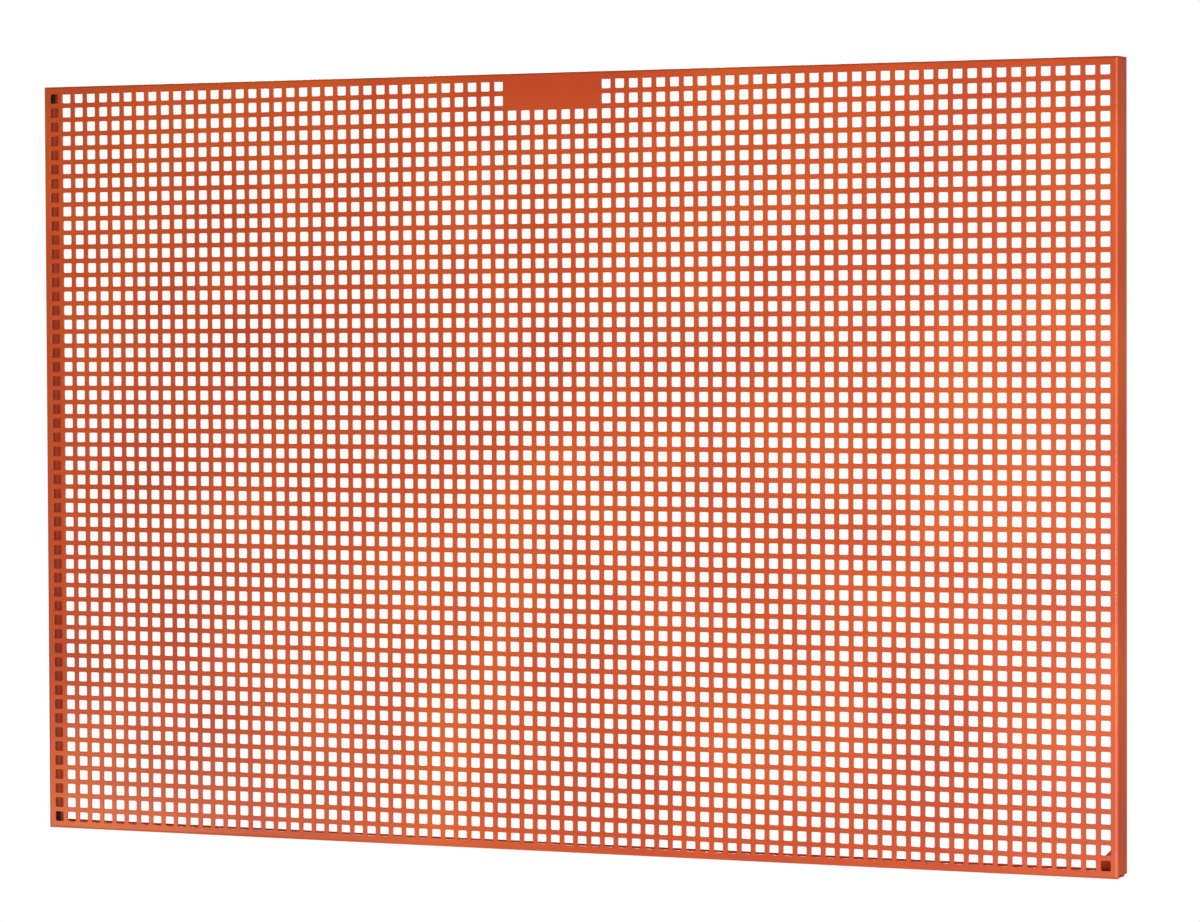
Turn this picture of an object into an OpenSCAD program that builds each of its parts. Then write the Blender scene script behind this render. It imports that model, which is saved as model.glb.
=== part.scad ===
// Perforated steel tool panel for a workshop wall: a shallow tray, open at the back,
// folded from one sheet. X runs to the right, Y into the wall and Z up. The origin is
// the middle of the panel on the wall plane, where the return lips rest.

/* [Panel] */
// Width over the side flanges
panel_w = 1195; // [300:5:1600]
// Height over the top and bottom flanges
panel_h = 790; // [300:5:1200]
// Depth from the front face to the wall
panel_d = 30; // [20:1:45]
// Thickness of the steel sheet
sheet_t = 1.5; // [1:0.1:2]
// Inside radius of every fold
fold_r = 1; // [0.5:0.1:2]
// Flat width of the return lips at the top and bottom, past their folds
lip_long = 4; // [3:0.1:6]
// Flat width of the return lips at the sides, past their folds
lip_side = 2; // [1.5:0.1:6]

/* [Perforation] */
// Side of a square hook hole
hole = 10; // [6:0.5:12]
// Distance from one hole to the next, both ways
pitch = 15; // [14:0.5:30]
// Least plain rim between the outermost holes and the edge of the panel
rim_min = 7.5; // [6:0.5:20]
// Columns left out for the plain patch in the middle of the top edge
patch_cols = 7; // [0:1:15]
// Rows left out for the plain patch
patch_rows = 2; // [0:1:6]

/* [Corner parts] */
// Leg of a rubber corner pad along each flange, from the outer corner
pad_leg = 18; // [12:0.5:20]
// Thickness of a corner pad
pad_t = 2; // [1:0.1:4]
// Clearance left between a corner pad and the wall
pad_clear = 12; // [8:0.5:15]
// Gap between the lower end of a side flange and the outside of the bottom flange
corner_gap = 3; // [2:0.1:4]
// Distance from the ends of the bottom flange to the outside of the side flanges, behind the fold
end_inset = 3; // [1.5:0.1:5]
// Width of the corner gusset, from the outer corner
gusset_w = 29; // [20:0.5:31]
// Height of the gusset's short end, from the outside of the bottom flange
gusset_end = 12; // [5:0.5:15]
// Thickness of the gusset
gusset_t = 1.5; // [1:0.1:2]

/* [Hidden] */

cut = 1;                      // how far a cutter runs past what it cuts
bend = fold_r + sheet_t;      // outside radius of a fold
bend_clear = 0.5;             // what starts behind the front folds stays this far from them
bend_end = bend + bend_clear;
layer_t = sheet_t / 2;        // the face is two slotted layers, back to back
pad_d = panel_d - bend_end - pad_clear;    // depth of a corner pad, from front to back
gusset_slant = gusset_w + gusset_end;      // where its 45 degree edge would meet the outer side

cols = floor((panel_w - 2 * rim_min - hole) / pitch) + 1;
rows = floor((panel_h - 2 * rim_min - hole) / pitch) + 1;
field_w = (cols - 1) * pitch + hole;
field_h = (rows - 1) * pitch + hole;
// the patch has the same parity as the columns, so that it sits in the middle
patch_n = patch_cols > 0 ? patch_cols + (cols - patch_cols) % 2 : 0;
patch_first = (cols - patch_n) / 2;

panel_colour = "orangered";
rubber_colour = "dimgray";

function col_x(i) = (i - (cols - 1) / 2) * pitch;
function row_z(j) = ((rows - 1) / 2 - j) * pitch;
function in_patch(i) = i >= patch_first && i < patch_first + patch_n;

// An outline in X and Z, drawn as a plate whose front is at y and whose thickness is t
module plate(y, t) {
    translate([0, y + t, 0])
        rotate([90, 0, 0])
            linear_extrude(t)
                children();
}

module face_outline() {
    square([panel_w - 2 * bend, panel_h - 2 * bend], center = true);
}

// One slot for each column, shorter under the plain patch
module column_slots() {
    bottom = -field_h / 2;
    for (i = [0 : cols - 1]) {
        left_out = in_patch(i) ? patch_rows * pitch : 0;
        translate([col_x(i) - hole / 2, bottom])
            square([hole, field_h - left_out]);
    }
}

// One slot for each row, in two parts beside the plain patch
module row_slots() {
    half = patch_first * pitch - (pitch - hole);
    for (j = [0 : rows - 1])
        translate([0, row_z(j) - hole / 2])
            if (j < patch_rows && patch_n > 0) {
                translate([-field_w / 2, 0]) square([half, hole]);
                translate([field_w / 2 - half, 0]) square([half, hole]);
            } else {
                translate([-field_w / 2, 0]) square([field_w, hole]);
            }
}

module face_front_layer() {
    color(panel_colour)
        plate(-panel_d, layer_t)
            difference() {
                face_outline();
                column_slots();
            }
}

module face_rear_layer() {
    color(panel_colour)
        plate(-panel_d + layer_t, layer_t)
            difference() {
                face_outline();
                row_slots();
            }
}

// A quarter of a fold, from +X round to +Y
module fold() {
    intersection() {
        difference() {
            circle(r = bend, $fn = 64);
            circle(r = fold_r, $fn = 64);
        }
        square(bend);
    }
}

// Section of a folded edge: the outside is at x = 0 with the sheet on the -X side,
// the front face is at y = 0 and the wall at y = panel_d
module edge_section(lip) {
    translate([-bend, bend]) mirror([0, 1]) fold();
    translate([-sheet_t, bend]) square([sheet_t, panel_d - 2 * bend]);
    translate([-bend, panel_d - bend]) fold();
    translate([-bend - lip, panel_d - sheet_t]) square([lip, sheet_t]);
}

// A folded edge standing on its side: its outside faces +X and it runs along Z,
// with both ends mitred
module edge(length, out, lip) {
    reach = bend + lip + cut;
    intersection() {
        translate([out, -panel_d, -length / 2])
            linear_extrude(length)
                edge_section(lip);
        translate([out - reach, cut, 0])
            rotate([90, 0, 0])
                linear_extrude(panel_d + 2 * cut)
                    polygon([[0, -length / 2 + reach], [reach, -length / 2],
                             [reach, length / 2], [0, length / 2 - reach]]);
    }
}

// Everything behind the front fold below the lower ends of the side flanges
module corner_gaps() {
    translate([-panel_w, -panel_d + bend_end, -panel_h / 2 - cut])
        cube([2 * panel_w, panel_d, corner_gap + cut]);
}

module side_edge() {
    difference() {
        edge(panel_h, panel_w / 2, lip_side);
        corner_gaps();
    }
}

module right_edge() {
    color(panel_colour) side_edge();
}

module left_edge() {
    color(panel_colour) mirror([1, 0, 0]) side_edge();
}

module top_edge() {
    color(panel_colour)
        rotate([0, -90, 0])
            edge(panel_w, panel_h / 2, lip_long);
}

// Blocks that cut both ends of the bottom flange and lip short, behind the front fold
module bottom_ends() {
    for (x = [-panel_w / 2 - cut, panel_w / 2 - end_inset])
        translate([x, -panel_d + bend_end, -panel_h / 2 - cut])
            cube([end_inset + cut, panel_d, bend + lip_long + 2 * cut]);
}

module bottom_edge() {
    color(panel_colour)
        difference() {
            rotate([0, 90, 0])
                edge(panel_w, panel_h / 2, lip_long);
            bottom_ends();
        }
}

// Plate welded across the lower right corner, on the inside of the return lips
module corner_gusset() {
    color(panel_colour)
        plate(-sheet_t - gusset_t, gusset_t)
            translate([panel_w / 2, -panel_h / 2])
                polygon([[-bend, bend], [-gusset_w, bend],
                         [-gusset_w, gusset_end],
                         [-bend, gusset_slant - bend]]);
}

// L-shaped rubber pad in the upper right corner, against the inside of both flanges
module pad() {
    inner = pad_leg - sheet_t - pad_t;
    color(rubber_colour)
        plate(-panel_d + bend_end, pad_d)
            translate([panel_w / 2 - pad_leg, panel_h / 2 - pad_leg])
                difference() {
                    square(pad_leg - sheet_t);
                    translate([-cut, -cut]) square(inner + cut);
                }
}

module pad_top_right() { pad(); }
module pad_top_left() { mirror([1, 0, 0]) pad(); }
module pad_bottom_right() { mirror([0, 0, 1]) pad(); }
module pad_bottom_left() { mirror([0, 0, 1]) mirror([1, 0, 0]) pad(); }

face_front_layer();
face_rear_layer();
top_edge();
bottom_edge();
left_edge();
right_edge();
corner_gusset();
pad_top_left();
pad_top_right();
pad_bottom_left();
pad_bottom_right();
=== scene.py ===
import math

import bmesh
import bpy
import numpy as np
from mathutils import Matrix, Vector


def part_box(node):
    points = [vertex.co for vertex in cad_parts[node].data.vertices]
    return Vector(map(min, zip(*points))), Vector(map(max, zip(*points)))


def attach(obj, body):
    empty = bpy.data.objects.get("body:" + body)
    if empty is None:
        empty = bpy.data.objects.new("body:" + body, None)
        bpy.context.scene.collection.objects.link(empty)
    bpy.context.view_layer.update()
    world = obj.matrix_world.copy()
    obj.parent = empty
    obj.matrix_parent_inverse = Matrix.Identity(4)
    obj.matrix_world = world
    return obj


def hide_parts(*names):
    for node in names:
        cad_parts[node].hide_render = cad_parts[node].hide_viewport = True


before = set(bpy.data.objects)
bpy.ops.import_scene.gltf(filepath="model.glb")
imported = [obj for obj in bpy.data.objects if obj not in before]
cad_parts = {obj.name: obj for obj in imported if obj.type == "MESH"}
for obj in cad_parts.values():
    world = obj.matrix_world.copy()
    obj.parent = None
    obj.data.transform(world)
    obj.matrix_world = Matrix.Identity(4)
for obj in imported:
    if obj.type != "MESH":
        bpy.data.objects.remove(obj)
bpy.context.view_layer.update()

mm = 0.001
sharpTurn = math.radians(50)      # folds sharper than this keep a hard edge
print("frame loaded:", len(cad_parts), "nodes")

# The panel's own sizes, read from the CAD nodes. X right, Y into the wall, Z up.
faceLow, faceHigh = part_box("face_front_layer")
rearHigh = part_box("face_rear_layer")[1]
rightLow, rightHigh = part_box("right_edge")
topLow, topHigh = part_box("top_edge")
gussetLow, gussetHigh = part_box("corner_gusset")

panel = {
    "halfWidth": rightHigh.x,
    "halfHeight": topHigh.z,
    "front": faceLow.y,
    "depth": rightHigh.y - faceLow.y,
    "thickness": rearHigh.y - faceLow.y,
    "foldRadius": rightHigh.x - faceHigh.x,      # outside radius of every fold
    "longLip": topHigh.z - topLow.z,
    "sideLip": rightHigh.x - rightLow.x,
}


def meshPiece(name, points, quads, triangles=None, smooth=True):
    # points is (n, 3), quads (m, 4) and triangles (k, 3); faces turn outward by signed volume
    quads = np.asarray(quads, np.int32).reshape(-1, 4)
    triangles = np.zeros((0, 3), np.int32) if triangles is None else np.asarray(triangles, np.int32)
    halves = np.concatenate([quads[:, [0, 1, 2]], quads[:, [0, 2, 3]], triangles])
    a, b, c = (points[halves[:, k]] for k in range(3))
    if np.einsum("ij,ij->i", a, np.cross(b, c)).sum() < 0:
        quads, triangles = quads[:, ::-1], triangles[:, ::-1]
    corners = np.concatenate([quads.ravel(), triangles.ravel()])
    starts = np.concatenate([np.arange(len(quads)) * 4, quads.size + np.arange(len(triangles)) * 3])
    mesh = bpy.data.meshes.new(name)
    mesh.vertices.add(len(points))
    mesh.vertices.foreach_set("co", np.asarray(points, np.float32).ravel())
    mesh.loops.add(len(corners))
    mesh.loops.foreach_set("vertex_index", corners.astype(np.int32))
    mesh.polygons.add(len(starts))
    mesh.polygons.foreach_set("loop_start", starts.astype(np.int32))
    mesh.update(calc_edges=True)
    mesh.polygons.foreach_set("use_smooth", np.full(len(starts), smooth))
    piece = bpy.data.objects.new(name, mesh)
    bpy.context.scene.collection.objects.link(piece)
    return piece


def pointValues(piece, attribute, values):
    # one number for each point, which a material can read by the attribute's name
    layer = piece.data.attributes.new(attribute, "FLOAT", "POINT")
    layer.data.foreach_set("value", np.asarray(values, np.float32))


def finishPiece(piece, material, slotName, *nodes):
    # the piece rides on the one body and stands for the CAD nodes
    piece.data.materials.append(material)
    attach(piece, "root")
    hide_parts(*nodes)
    print("made", piece.name, len(piece.data.vertices), "points")


class Value:
    # a node's output; + - * and their reflected forms add Math nodes
    def __init__(self, paint, socket):
        self.paint = paint
        self.socket = socket

    def math(self, operation, first, second):
        return self.paint.node("ShaderNodeMath", {"operation": operation}, {0: first, 1: second})

    def __add__(self, other):
        return self.math("ADD", self, other)

    def __radd__(self, other):
        return self.math("ADD", other, self)

    def __sub__(self, other):
        return self.math("SUBTRACT", self, other)

    def __rsub__(self, other):
        return self.math("SUBTRACT", other, self)

    def __mul__(self, other):
        return self.math("MULTIPLY", self, other)

    def __rmul__(self, other):
        return self.math("MULTIPLY", other, self)


class Paint:
    # the nodes of a material or a world, and the one method that adds a node to them; sockets
    # takes values or links by name or number, and output says which output comes back
    def __init__(self, owner):
        owner.use_nodes = True
        self.owner = owner
        self.tree = owner.node_tree
        self.tree.nodes.clear()

    def node(self, kind, settings=None, sockets=None, output=0):
        made = self.tree.nodes.new(kind)
        for key, value in (settings or {}).items():
            if key == "stops":
                ramp = made.color_ramp.elements
                while len(ramp) < len(value):
                    ramp.new(0.5)
                for stop, (place, colour) in zip(ramp, value):
                    stop.position = place
                    stop.color = colour
            else:
                setattr(made, key, value)
        for key, value in (sockets or {}).items():
            if isinstance(value, Value):
                self.tree.links.new(value.socket, made.inputs[key])
            else:
                made.inputs[key].default_value = value
        return Value(self, made.outputs[output]) if made.outputs else None

    def noise(self, place, scale, detail=2.0, roughness=0.5):
        # about scale cells to the metre; detail adds finer layers, roughness is their share
        return self.node("ShaderNodeTexNoise", {"noise_dimensions": "3D"},
                         {"Vector": place, "Scale": scale, "Detail": detail, "Roughness": roughness})

    def spread(self, value, low, high):
        # low..high becomes 0..1, held at both ends
        return self.node("ShaderNodeMapRange", {"clamp": True},
                         {"Value": value, "From Min": low, "From Max": high})

    def mix(self, factor, first, second):
        # 6, 7 and the output 2 are the node's colour sockets
        return self.node("ShaderNodeMix", {"data_type": "RGBA"}, {0: factor, 6: first, 7: second}, 2)

    def bump(self, height, strength, distance, normal=None):
        # distance is the relief's full height in metres, and normal a coarser or finer relief below
        sockets = {"Height": height, "Strength": strength, "Distance": distance}
        if normal is not None:
            sockets["Normal"] = normal
        return self.node("ShaderNodeBump", {}, sockets)

    def surface(self, sockets):
        # the finished material
        shader = self.node("ShaderNodeBsdfPrincipled", {}, sockets)
        self.node("ShaderNodeOutputMaterial", {"target": "ALL"}, {"Surface": shader})
        return self.owner


coat = {
    "deep": (0.54, 0.062, 0.013, 1.0),
    "mid": (0.63, 0.088, 0.014, 1.0),
    "bright": (0.73, 0.130, 0.013, 1.0),
    "thin": (0.80, 0.19, 0.06, 1.0),          # where the powder draws back from an edge
    "clouds": ((3.4, 0.68), (11.0, 0.32)),    # scale and share of the two sizes of cloud
    "cloudRange": (0.34, 0.66),
    "grain": 620.0,
    "grainShade": 0.12,
    "wornRange": (0.35, 0.70),
    "wornShare": 0.45,
    "peel": 430.0,
    "peelRelief": (0.30, 0.06 * mm),          # strength and height of the orange peel
    "grainRelief": (0.25, 0.02 * mm),
    "roughness": 0.36,
    "smears": 26.0,
    "smearRoughness": 0.10,
    "grainRoughness": 0.06,
    "ior": 1.48,
    "gloss": 0.5,
    "glossRoughness": 0.20,
}


def powderCoat():
    # colour = clouds between three oranges, plus grain; relief = orange peel and fine grain
    paint = Paint(bpy.data.materials.new("orange_powder_coat"))
    place = paint.node("ShaderNodeTexCoord", output="Object")
    large, small = (paint.noise(place, scale) * share for scale, share in coat["clouds"])
    tone = paint.spread(large + small, *coat["cloudRange"])
    colour = paint.node("ShaderNodeValToRGB", {"stops": [
        (0.0, coat["deep"]), (0.5, coat["mid"]), (1.0, coat["bright"])]}, {"Fac": tone})
    grain = paint.noise(place, coat["grain"], 3.0, 0.6)
    peel = paint.noise(place, coat["peel"], 1.0)
    colour = paint.mix(grain * coat["grainShade"], colour, coat["deep"])
    edge = paint.node("ShaderNodeAttribute", {"attribute_name": "coatEdge"}, output="Fac")
    worn = edge * paint.spread(grain, *coat["wornRange"]) * coat["wornShare"]
    colour = paint.mix(worn, colour, coat["thin"])
    smear = paint.noise(place, coat["smears"], 3.0)
    rough = (coat["roughness"] + coat["smearRoughness"] * (smear - 0.5)
             + coat["grainRoughness"] * (grain - 0.5))
    relief = paint.bump(peel, *coat["peelRelief"], paint.bump(grain, *coat["grainRelief"]))
    return paint.surface({
        "Base Color": colour, "Roughness": rough, "Normal": relief, "IOR": coat["ior"],
        "Coat Weight": coat["gloss"], "Coat Roughness": coat["glossRoughness"],
    })


rubber = {
    "dark": (0.012, 0.011, 0.011, 1.0),
    "dusty": (0.034, 0.031, 0.029, 1.0),
    "dust": 90.0,
    "dustRange": (0.42, 0.72),
    "dustRoughness": 0.14,
    "grain": 1900.0,
    "grainRelief": (0.5, 0.08 * mm),
    "roughness": 0.72,
}


def padRubber():
    # colour = black dusted by noise; relief = fine moulded grain
    paint = Paint(bpy.data.materials.new("black_rubber"))
    place = paint.node("ShaderNodeTexCoord", output="Object")
    dust = paint.spread(paint.noise(place, rubber["dust"], 4.0, 0.6), *rubber["dustRange"])
    grain = paint.noise(place, rubber["grain"])
    colour = paint.mix(dust, rubber["dark"], rubber["dusty"])
    rough = rubber["roughness"] + rubber["dustRoughness"] * (dust - 0.5)
    relief = paint.bump(grain, *rubber["grainRelief"])
    return paint.surface({"Base Color": colour, "Roughness": rough, "Normal": relief})


powderOrange = powderCoat()
rubberBlack = padRubber()
print("materials made")


sheet = {
    "pitch": 15.0 * mm,
    "hole": 10.0 * mm,
    "columns": 79,
    "rows": 52,
    "patchColumns": (36, 42),     # first and last column without holes
    "patchRows": 2,
    "cornerRadius": 1.2 * mm,
    "lead": 0.3 * mm,             # rounded edge where the punch went in
    "bow": 1.1 * mm,
    "wave": 0.45 * mm,
    "sines": ((11.0, 3.0, 0.6), (4.0, -14.0, 1.9), (19.0, 12.0, -0.8)),    # per metre X, Z; start
}


def bowedIn(x, z):
    # inward bow = w w bow + min(1, 3 w)^2 wave (1 + s) / 2, where w = (1 - u u)(1 - v v), u and v
    # run from -1 to 1 over the flat face and s is the mean of three long sines; zero along the rim
    u, v = x / faceHigh.x, z / faceHigh.z
    window = np.clip((1 - u * u) * (1 - v * v), 0, None)
    mean = sum(np.sin(a * x + b * z + c) for a, b, c in sheet["sines"]) / len(sheet["sines"])
    return window ** 2 * sheet["bow"] + np.minimum(1, 3 * window) ** 2 * sheet["wave"] * (1 + mean) / 2


def holeRing(half, radius):
    # twelve points clockwise from the left: corner + radius (cos a, sin a), a = start, -45, -90 deg
    turn = np.radians(np.array([180, 90, 0, -90])[:, None] - np.array([0, 45, 90])[None, :])
    signX, signZ = np.array([-1, 1, 1, -1])[:, None], np.array([1, 1, -1, -1])[:, None]
    inner = half - radius
    return np.stack([signX * inner + radius * np.cos(turn),
                     signZ * inner + radius * np.sin(turn)], -1).reshape(-1, 2)


def sheetLattice(firstColumn, lastColumn):
    # lines halfway between the holes and along the rim; which cells between them are pierced, and
    # the holes' centres, (column - (columns - 1) / 2) pitch and ((rows - 1) / 2 - row) pitch
    pitch, columns, rows = sheet["pitch"], sheet["columns"], sheet["rows"]
    lineX = (np.arange(firstColumn, lastColumn + 2) - columns / 2) * pitch
    lineZ = (rows / 2 - np.arange(rows + 1)) * pitch
    cellColumn = np.arange(firstColumn, lastColumn + 1)
    cellRow = np.arange(-1, rows + 1)
    if firstColumn == 0:
        lineX, cellColumn = np.r_[faceLow.x, lineX], np.r_[-1, cellColumn]
    if lastColumn == columns - 1:
        lineX, cellColumn = np.r_[lineX, faceHigh.x], np.r_[cellColumn, columns]
    lineZ = np.r_[faceHigh.z, lineZ, faceLow.z]
    column, row = (cell.ravel() for cell in np.meshgrid(cellColumn, cellRow, indexing="ij"))
    firstPlain, lastPlain = sheet["patchColumns"]
    plain = (column >= firstPlain) & (column <= lastPlain) & (row < sheet["patchRows"])
    pierced = (column >= 0) & (column < columns) & (row >= 0) & (row < rows) & ~plain
    centres = np.stack([column - (columns - 1) / 2, (rows - 1) / 2 - row], -1)[pierced] * pitch
    return lineX, lineZ, pierced, centres


def sheetPoints(lineX, lineZ, centres):
    # the lattice at the front and at the rear, then for all holes the ring on the front face, the
    # ring after the lead and the ring on the rear face: (x, front + depth + bow, z)
    half, radius, lead = sheet["hole"] / 2, sheet["cornerRadius"], sheet["lead"]
    outer, inner = holeRing(half + lead, radius + lead), holeRing(half, radius)
    lattice = np.stack([line.ravel() for line in np.meshgrid(lineX, lineZ, indexing="ij")], -1)
    layers = [(lattice, 0.0), (lattice, panel["thickness"])]
    for ring, depth in ((outer, 0.0), (inner, lead), (inner, panel["thickness"])):
        layers.append(((centres[:, None] + ring[None]).reshape(-1, 2), depth))
    x, z = np.concatenate([flat for flat, _ in layers]).T
    y = np.concatenate([np.full(len(flat), depth) for flat, depth in layers])
    return np.stack([x, panel["front"] + y + bowedIn(x, z), z], -1)


def piercedFaces(near, far, rings):
    # near and far are a cell's four corners at the front and at the rear; each side of the cell
    # takes two triangles and a quad on each face, and quads join the three rings through the hole
    front, lead, rear = rings
    quads, triangles = [], []
    for side in range(4):
        after = (side + 1) % 4
        start, middle, end = (3 * side + k for k in range(3))
        here, there, hereRear, thereRear = near[:, side], near[:, after], far[:, side], far[:, after]
        quads.append(np.stack([here, front[:, end], front[:, 3 * after], there], -1))
        quads.append(np.stack([rear[:, end], hereRear, thereRear, rear[:, 3 * after]], -1))
        for k, m in ((start, middle), (middle, end)):
            triangles.append(np.stack([here, front[:, k], front[:, m]], -1))
            triangles.append(np.stack([rear[:, k], hereRear, rear[:, m]], -1))
    for one, other in ((front, lead), (lead, rear)):
        wall = np.stack([one, other, np.roll(other, -1, 1), np.roll(one, -1, 1)], -1)
        quads.append(wall.reshape(-1, 4))
    return quads, triangles


def borderFaces(front, rear):
    # quads from the front to the rear along the four sides of the lattice
    sides = ((front[:, 0], rear[:, 0]), (front[::-1, -1], rear[::-1, -1]),
             (front[0, ::-1], rear[0, ::-1]), (front[-1], rear[-1]))
    return [np.stack([near[:-1], near[1:], far[1:], far[:-1]], -1) for near, far in sides]


def sharpenSheet(piece, front, rings):
    # edges along the front rings, the rear rings and the outer border stay hard
    kind = np.zeros(len(piece.data.vertices), np.int32)     # 1 front ring, 2 lead, 3 rear ring, 4 border
    for value, ring in enumerate(rings, 1):
        kind[ring.ravel()] = value
    border = np.zeros_like(front)
    border[[0, -1]] = 4
    border[:, [0, -1]] = 4
    kind[:2 * front.size] = np.tile(border.ravel(), 2)
    ends = np.zeros(len(piece.data.edges) * 2, np.int32)
    piece.data.edges.foreach_get("vertices", ends)
    pair = kind[ends.reshape(-1, 2)]
    sharp = (pair[:, 0] == pair[:, 1]) & np.isin(pair[:, 0], (1, 3, 4))
    piece.data.attributes.new("sharp_edge", "BOOLEAN", "EDGE").data.foreach_set("value", sharp)
    pointValues(piece, "coatEdge", kind == 2)


def perforatedSheet(name, firstColumn, lastColumn):
    # a lattice of cells, plain or pierced by a square hole with round corners
    lineX, lineZ, pierced, centres = sheetLattice(firstColumn, lastColumn)
    points = sheetPoints(lineX, lineZ, centres)
    front = np.arange(len(lineX) * len(lineZ)).reshape(len(lineX), len(lineZ))
    rear = front + front.size
    rings = np.arange(2 * front.size, len(points)).reshape(3, len(centres), -1)
    cells = np.stack([front[:-1, :-1], front[1:, :-1], front[1:, 1:], front[:-1, 1:]], -1).reshape(-1, 4)
    holes = cells[pierced]
    quads, triangles = piercedFaces(holes, holes + front.size, rings)
    solid = cells[~pierced][:, [0, 3, 2, 1]]
    quads += [solid, (solid + front.size)[:, ::-1]] + borderFaces(front, rear)
    piece = meshPiece(name, points, np.concatenate(quads), np.concatenate(triangles))
    sharpenSheet(piece, front, rings)
    return piece


lastColumn = sheet["columns"] - 1
for name, columnsFrom, columnsTo in (("perforated_sheet_left", 0, lastColumn // 2),
                                     ("perforated_sheet_right", lastColumn // 2 + 1, lastColumn)):
    finishPiece(perforatedSheet(name, columnsFrom, columnsTo),
                powderOrange, "powder_coat", "face_front_layer", "face_rear_layer")


fold = {
    "arcSteps": 8,
    "lipRound": 0.35 * mm,
    "roundSteps": 3,
    "stations": 64,
    "bandSteps": 4,                        # across each depth where the flange ends step
    "flangeSteps": 7,                      # between those two depths
    "notch": 3.0 * mm,                     # cut-back of the flange ends at the two lower corners
    "notchDepth": (2.5 * mm, 3.3 * mm),    # where a flange's end leaves the mitre of the front fold
    "seam": 0.3 * mm,                      # between the top flange and the upper end of a side flange
    "seamDepth": (25.6 * mm, 26.4 * mm),   # where it goes back to the mitre of the rear fold
    "ripple": 0.14 * mm,
    "rippleTurn": 9.0,                     # radians per metre along the edge
}


def edgeChain(radius, lip, inside):
    # section from the face to the lip: fold, flange, fold, lip and the round of its end;
    # u = R - r sin a, v = R - r cos a, then straight, then u = R - r cos a, v = D - R + r sin a
    big, depth, thickness = panel["foldRadius"], panel["depth"], panel["thickness"]
    angle = np.linspace(0, math.pi / 2, fold["arcSteps"] + 1)
    notch, seam = (np.linspace(*fold[key], fold["bandSteps"] + 1) for key in ("notchDepth", "seamDepth"))
    plain = np.linspace(notch[-1], seam[0], fold["flangeSteps"] + 1)
    flange = np.r_[notch[1:], plain[1:-1], seam]
    soft = fold["lipRound"]
    turn = np.linspace(0, math.pi / 2, fold["roundSteps"] + 1)
    side = -1 if inside else 1
    edge = depth - (thickness if inside else 0)
    u = np.r_[big - radius * np.sin(angle), np.full(len(flange), big - radius),
              big - radius * np.cos(angle), lip - soft + soft * np.sin(turn)]
    v = np.r_[big - radius * np.cos(angle), flange,
              depth - big + radius * np.sin(angle), edge - side * (soft - soft * np.cos(turn))]
    return np.stack([u, v], -1)


def smoothStep(value, begin, end):
    # t t (3 - 2 t), where t runs from 0 at begin to 1 at end and is held past both
    t = np.clip((value - begin) / (end - begin), 0, 1)
    return t * t * (3 - 2 * t)


def endCuts(kind, u, v):
    # how far each point of the section stops short of its mitre, at the low end and at the high end
    behind = smoothStep(v, *fold["notchDepth"])
    between = behind * (1 - smoothStep(v, *fold["seamDepth"]))
    notch = np.maximum(fold["notch"] - u, 0) * behind
    if kind == "side":
        return notch, np.maximum(panel["thickness"] + fold["seam"] - u, 0) * between
    if kind == "bottom":
        return notch, notch
    lap = -np.minimum(u, panel["thickness"]) * between
    return lap, lap


def foldedEdge(name, kind, halfLength, lip, place):
    # each point of the closed section runs from one end to the other, s = -(L - u) + cut to
    # L - u - cut, and the flange leans in by ripple sin sin (1 + sin(turn s)) / 2, zero at its rims
    big, thickness, depth = panel["foldRadius"], panel["thickness"], panel["depth"]
    outside = edgeChain(big, lip, False)
    inside = edgeChain(big - thickness, lip, True)
    section = np.concatenate([outside, inside[::-1]])
    u, v = section.T
    lowCut, highCut = endCuts(kind, u, v)
    low, high = -(halfLength - u) + lowCut, halfLength - u - highCut
    step = np.linspace(0, 1, fold["stations"])[None, :]
    s = low[:, None] + (high - low)[:, None] * step
    window = np.sin(math.pi * np.clip((v - big) / (depth - 2 * big), 0, 1))[:, None]
    ends = np.sin(math.pi * step)
    wave = np.sin(fold["rippleTurn"] * s + 2 * halfLength)
    ripple = fold["ripple"] * window * ends * (1 + wave) / 2
    points = place(s, u[:, None] + ripple, v[:, None] + np.zeros_like(s)).reshape(-1, 3)
    count, stations = len(section), fold["stations"]
    index = np.arange(count * stations).reshape(count, stations)
    around = np.roll(index, -1, 0)
    quads = [np.stack([index[:, :-1], index[:, 1:], around[:, 1:], around[:, :-1]], -1).reshape(-1, 4)]
    lipEnd = len(outside)
    for station, flip in ((0, 1), (stations - 1, -1)):
        outer, inner = index[:lipEnd, station], index[lipEnd:, station][::-1]
        quads.append(np.stack([outer[:-1], outer[1:], inner[1:], inner[:-1]], -1)[:, ::flip])
    piece = meshPiece(name, points, np.concatenate(quads))
    piece.data.set_sharp_from_angle(angle=sharpTurn)
    worn = np.zeros((count, stations))
    worn[lipEnd - fold["roundSteps"] - 1:lipEnd + fold["roundSteps"] + 1] = 1
    pointValues(piece, "coatEdge", worn.ravel())
    return piece


def sideways(sign):
    # a side edge: s runs up, u inward from the outside and v back from the front
    return lambda s, u, v: np.stack([sign * (panel["halfWidth"] - u), panel["front"] + v, s], -1)


def upright(sign):
    # the top or bottom edge: s runs to the right, u inward from the outside and v back
    return lambda s, u, v: np.stack([s, panel["front"] + v, sign * (panel["halfHeight"] - u)], -1)


for kind, side, halfLength, lip, place in (
        ("side", "right", panel["halfHeight"], panel["sideLip"], sideways(1)),
        ("side", "left", panel["halfHeight"], panel["sideLip"], sideways(-1)),
        ("top", "top", panel["halfWidth"], panel["longLip"], upright(1)),
        ("bottom", "bottom", panel["halfWidth"], panel["longLip"], upright(-1))):
    finishPiece(foldedEdge("folded_edge_" + side, kind, halfLength, lip, place),
                powderOrange, "powder_coat", side + "_edge")


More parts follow.
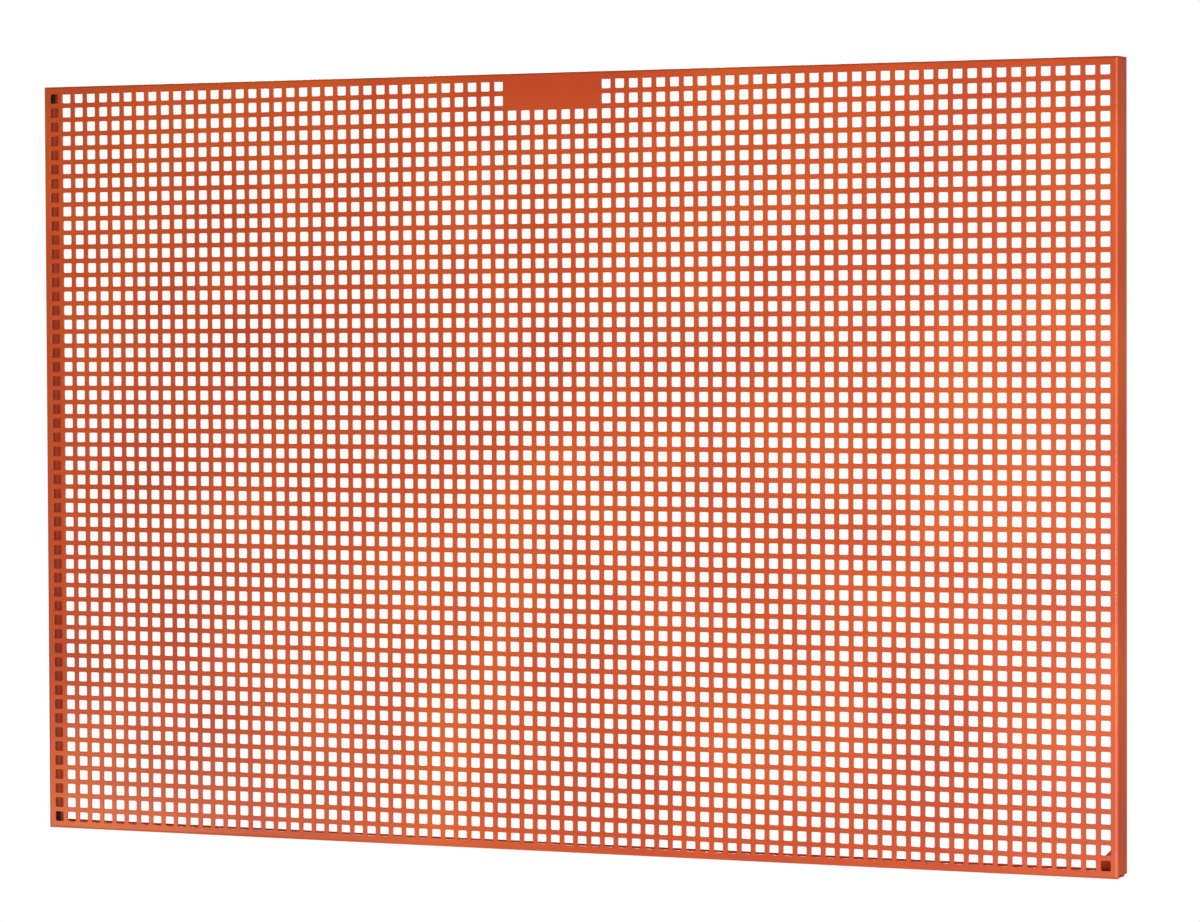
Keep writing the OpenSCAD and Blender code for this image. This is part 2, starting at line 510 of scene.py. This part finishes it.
def roundedOutline(corners, radii, steps=5):
    # each corner becomes an arc that touches both sides: centre = corner + (n1 + n2) r / (1 + n1.n2)
    corners = np.asarray(corners, float)
    out = []
    for k, radius in enumerate(radii):
        before, here, after = corners[k - 1], corners[k], corners[(k + 1) % len(corners)]
        d1 = (here - before) / np.linalg.norm(here - before)
        d2 = (after - here) / np.linalg.norm(after - here)
        side = np.sign(d1[0] * d2[1] - d1[1] * d2[0])
        n1, n2 = side * np.array([-d1[1], d1[0]]), side * np.array([-d2[1], d2[0]])
        centre = here + (n1 + n2) * radius / (1 + n1 @ n2)
        a1 = math.atan2(-n1[1], -n1[0])
        sweep = math.atan2(d1[0] * d2[1] - d1[1] * d2[0], d1 @ d2)
        angle = a1 + sweep * np.linspace(0, 1, steps)
        out.append(centre + radius * np.stack([np.cos(angle), np.sin(angle)], -1))
    return np.concatenate(out)


def insetOutline(outline, amount):
    # every point moves inward along the mean normal of its two sides, by amount / cos(half turn)
    ahead = np.roll(outline, -1, 0) - outline
    ahead /= np.linalg.norm(ahead, axis=1)[:, None]
    normal = np.stack([-ahead[:, 1], ahead[:, 0]], -1)
    mean = normal + np.roll(normal, 1, 0)
    mean /= np.linalg.norm(mean, axis=1)[:, None]
    return outline + mean * amount / np.einsum("ij,ij->i", mean, normal)[:, None]


def roundedPlate(name, outline, nearY, farY, soft, steps=3):
    # an outline in X and Z, anticlockwise, carried from nearY to farY with both rims rounded:
    # inset = soft (1 - sin t), depth = soft (1 - cos t)
    t = np.linspace(0, math.pi / 2, steps + 1)
    insets = np.r_[soft * (1 - np.sin(t)), soft * (1 - np.sin(t))[::-1]]
    depths = np.r_[nearY + soft * (1 - np.cos(t)), farY - soft * (1 - np.cos(t))[::-1]]
    rings = np.stack([np.c_[insetOutline(outline, inset), np.full(len(outline), y)][:, [0, 2, 1]]
                      for inset, y in zip(insets, depths)])
    count, size = rings.shape[:2]
    index = np.arange(count * size).reshape(count, size)
    quads = np.stack([index[:-1], index[1:], np.roll(index[1:], -1, 1), np.roll(index[:-1], -1, 1)], -1)
    piece = meshPiece(name, rings.reshape(-1, 3), quads.reshape(-1, 4))
    shape = bmesh.new()
    shape.from_mesh(piece.data)
    rims = [e for e in shape.edges if e.is_boundary]
    bmesh.ops.holes_fill(shape, edges=rims, sides=0)
    bmesh.ops.triangulate(shape, faces=[f for f in shape.faces if len(f.verts) > 4])
    bmesh.ops.recalc_face_normals(shape, faces=shape.faces)
    shape.to_mesh(piece.data)
    shape.free()
    piece.data.polygons.foreach_set("use_smooth", np.full(len(piece.data.polygons), True))
    piece.data.set_sharp_from_angle(angle=sharpTurn)
    return piece


gusset = {"cornerRadius": 0.8 * mm, "soft": 0.3 * mm}


def cornerGusset():
    # four corners from the CAD plate's box, with the slanted side at 45 degrees
    right, left, low, high = gussetHigh.x, gussetLow.x, gussetLow.z, gussetHigh.z
    short = high - (right - left)
    outline = roundedOutline([(left, low), (right, low), (right, high), (left, short)],
                             [gusset["cornerRadius"]] * 4)
    return roundedPlate("corner_gusset_plate", outline, gussetLow.y, gussetHigh.y, gusset["soft"])


finishPiece(cornerGusset(), powderOrange, "powder_coat", "corner_gusset")

pad = {
    "thickness": 2.0 * mm,
    "soft": 0.35 * mm,
    "innerRadius": 1.2 * mm,
    "outerRadius": 0.5 * mm,
    "endRadius": 0.7 * mm,
}


def cornerPad(name, node):
    # an L against the inside of two flanges, anticlockwise from its inner corner
    low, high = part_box(node)
    endX, sideX = (low.x, high.x) if high.x > 0 else (high.x, low.x)
    endZ, sideZ = (low.z, high.z) if high.z > 0 else (high.z, low.z)
    innerX = sideX - math.copysign(pad["thickness"], sideX)
    innerZ = sideZ - math.copysign(pad["thickness"], sideZ)
    corners = [(innerX, innerZ), (innerX, endZ), (sideX, endZ),
               (sideX, sideZ), (endX, sideZ), (endX, innerZ)]
    radii = [pad[part + "Radius"] for part in ("inner", "end", "end", "outer", "end", "end")]
    if sideX * sideZ < 0:
        corners, radii = corners[::-1], radii[::-1]
    return roundedPlate(name, roundedOutline(corners, radii), low.y, high.y, pad["soft"])


for node in ("pad_top_left", "pad_top_right", "pad_bottom_left", "pad_bottom_right"):
    finishPiece(cornerPad("rubber_" + node, node), rubberBlack, "rubber", node)


stage = {
    "floorHeight": -1.25,
    "floorRadius": 2.6,
    "floorSides": 96,
    "fadeStart": 0.9,
    "floorColour": (0.82, 0.85, 0.89, 1.0),
    "backdrop": (1.0, 1.0, 1.0, 1.0),
    "ambient": 0.19,
    "ambientColour": (1.0, 0.88, 0.76, 1.0),
}


def studioFloor():
    # a flat disc that fades out at its rim, so that no edge of it shows
    sides = stage["floorSides"]
    angle = np.linspace(0, 2 * math.pi, sides, endpoint=False)
    ring = stage["floorRadius"] * np.stack([np.cos(angle), np.sin(angle), np.zeros(sides)], -1)
    points = np.concatenate([ring, [[0, 0, 0]]]) + np.array([0, 0, stage["floorHeight"]])
    fan = np.stack([np.arange(sides), np.roll(np.arange(sides), -1), np.full(sides, sides)], -1)
    mesh = bpy.data.meshes.new("studio_floor")
    mesh.from_pydata(points.tolist(), [], fan.tolist())
    floor = bpy.data.objects.new("studio_floor", mesh)
    bpy.context.scene.collection.objects.link(floor)
    paint = Paint(bpy.data.materials.new("pale_floor"))
    place = paint.node("ShaderNodeTexCoord", output="Object")
    flat = paint.node("ShaderNodeVectorMath", {"operation": "MULTIPLY"}, {0: place, 1: (1.0, 1.0, 0.0)})
    radius = paint.node("ShaderNodeVectorMath", {"operation": "LENGTH"}, {0: flat}, "Value")
    fade = paint.spread(radius, stage["fadeStart"], stage["floorRadius"])
    pale = paint.node("ShaderNodeBsdfDiffuse", {}, {"Color": stage["floorColour"]})
    clear = paint.node("ShaderNodeBsdfTransparent")
    mixed = paint.node("ShaderNodeMixShader", {}, {0: fade, 1: pale, 2: clear})
    paint.node("ShaderNodeOutputMaterial", {"target": "ALL"}, {"Surface": mixed})
    mesh.materials.append(paint.owner)


def studioWorld():
    # white where it is seen, dim and warm where it lights the panel
    paint = Paint(bpy.data.worlds.new("studio_world"))
    seen = paint.node("ShaderNodeLightPath", output="Is Camera Ray")
    dim = paint.node("ShaderNodeBackground", {}, {
        "Color": stage["ambientColour"], "Strength": stage["ambient"]})
    white = paint.node("ShaderNodeBackground", {}, {"Color": stage["backdrop"]})
    both = paint.node("ShaderNodeMixShader", {}, {0: seen, 1: dim, 2: white})
    paint.node("ShaderNodeOutputWorld", {}, {"Surface": both})
    bpy.context.scene.world = paint.owner


lights = {
    # turn from straight in front (degrees, to the right), height, distance, width, tall, watts, colour
    "key_softbox": (9, -0.70, 3.0, 0.6, 1.4, 30, (1.0, 0.96, 0.90)),
    "front_softbox": (16, -0.30, 4.8, 0.5, 0.5, 16, (1.0, 0.96, 0.90)),
    "low_softbox": (-42, -1.00, 3.2, 0.9, 0.4, 12, (1.0, 0.76, 0.54)),
    "edge_strip": (50, 0.20, 3.0, 0.3, 2.6, 42, (1.0, 0.76, 0.48)),
    "side_softbox": (84, 0.10, 3.0, 0.8, 2.4, 18, (1.0, 0.88, 0.72)),
    "fill_softbox": (-80, 0.90, 3.6, 1.4, 1.6, 6, (1.0, 0.97, 0.93)),
    "rear_softbox": (205, 0.90, 3.4, 1.6, 1.8, 80, (1.0, 0.97, 0.93)),
}


def aimed(location):
    # a light's -Z looks at the panel's middle: Z away from it, X = up x Z and Y = Z x X
    away = np.array(location) / np.linalg.norm(location)
    right = np.cross([0, 0, 1], away)
    right /= np.linalg.norm(right)
    up = np.cross(away, right)
    return Matrix(np.c_[np.r_[np.c_[right, up, away], np.zeros((1, 3))], [*location, 1]].tolist())


def studioLights():
    # each stands at (d sin turn, -d cos turn, height) and is turned to the panel's middle
    for name, (turn, height, distance, width, tall, watts, colour) in lights.items():
        lamp = bpy.data.lights.new(name, "AREA")
        lamp.shape = "RECTANGLE"
        lamp.size, lamp.size_y = width, tall
        lamp.energy = watts
        lamp.color = colour
        angle = math.radians(turn)
        box = bpy.data.objects.new(name, lamp)
        bpy.context.scene.collection.objects.link(box)
        box.matrix_world = aimed((distance * math.sin(angle), -distance * math.cos(angle), height))


view = {
    "place": (1.9566, -4.1948, 0.1394),
    "turn": 24.575,      # to the left of straight in, degrees
    "tilt": -1.710,
    "roll": -0.233,
    "lens": 136.36,
    "sensor": 36.0,
    "farthest": 60.0,
}


def panelCamera():
    # place, then the turn about the vertical, the tilt from level and the roll about the view
    camera = bpy.data.cameras.new("panel_camera")
    camera.sensor_width = view["sensor"]
    camera.lens = view["lens"]
    camera.clip_end = view["farthest"]
    holder = bpy.data.objects.new("panel_camera", camera)
    bpy.context.scene.collection.objects.link(holder)
    turn, tilt, roll = (math.radians(view[key]) for key in ("turn", "tilt", "roll"))
    holder.matrix_world = (Matrix.Translation(view["place"]) @ Matrix.Rotation(turn, 4, "Z")
                           @ Matrix.Rotation(math.pi / 2 + tilt, 4, "X") @ Matrix.Rotation(roll, 4, "Z"))
    bpy.context.scene.camera = holder


studioFloor()
studioWorld()
studioLights()
panelCamera()
bpy.context.scene.view_settings.view_transform = "Standard"
print("stage, lights and camera made")
